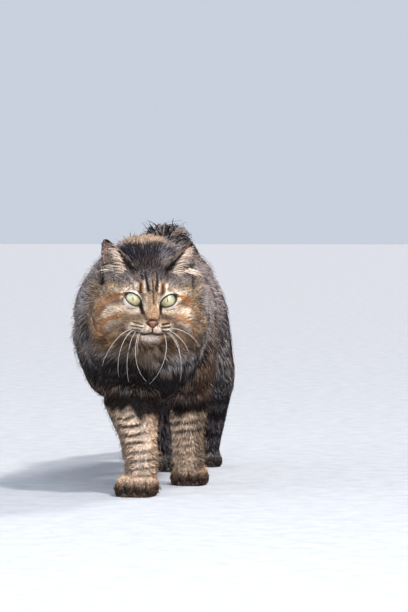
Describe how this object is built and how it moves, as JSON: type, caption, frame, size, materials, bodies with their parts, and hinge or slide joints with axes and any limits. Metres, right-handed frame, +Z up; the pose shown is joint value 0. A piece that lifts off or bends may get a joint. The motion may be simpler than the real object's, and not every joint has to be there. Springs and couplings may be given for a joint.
{
  "type": "long-haired cat",
  "caption": "Life-size still model of a long-haired tabby domestic cat walking towards the viewer, one forefoot just set down, tail carried low behind.",
  "frame": {"origin": "on the floor, under the middle of the cat's box", "axes": "+Z up, -Y the way the cat walks and faces, +X the cat's left side"},
  "size_m": [0.1746, 0.7054, 0.3268],
  "materials": {
    "body_coat": "long soft fur",
    "face_coat": "short soft fur",
    "leg_coat": "short soft fur",
    "eye": "wet gloss",
    "nose_leather": "fine-grained, slightly moist"
  },
  "bodies": {
    "root": {"eye_left": "eye", "eye_right": "eye", "nose": "nose_leather", "head": "face_coat", "ear_left": "face_coat", "ear_right": "face_coat", "neck": "body_coat", "trunk": "body_coat", "upper_arm_left": "body_coat", "upper_arm_right": "body_coat", "forearm_left": "leg_coat", "forearm_right": "leg_coat", "forepaw_left": "leg_coat", "forepaw_right": "leg_coat", "thigh_left": "body_coat", "thigh_right": "body_coat", "shank_left": "leg_coat", "shank_right": "leg_coat", "hind_paw_left": "leg_coat", "hind_paw_right": "leg_coat", "tail_root": "body_coat", "tail_middle": "body_coat", "tail_tip": "body_coat"}
  },
  "joints": []
}
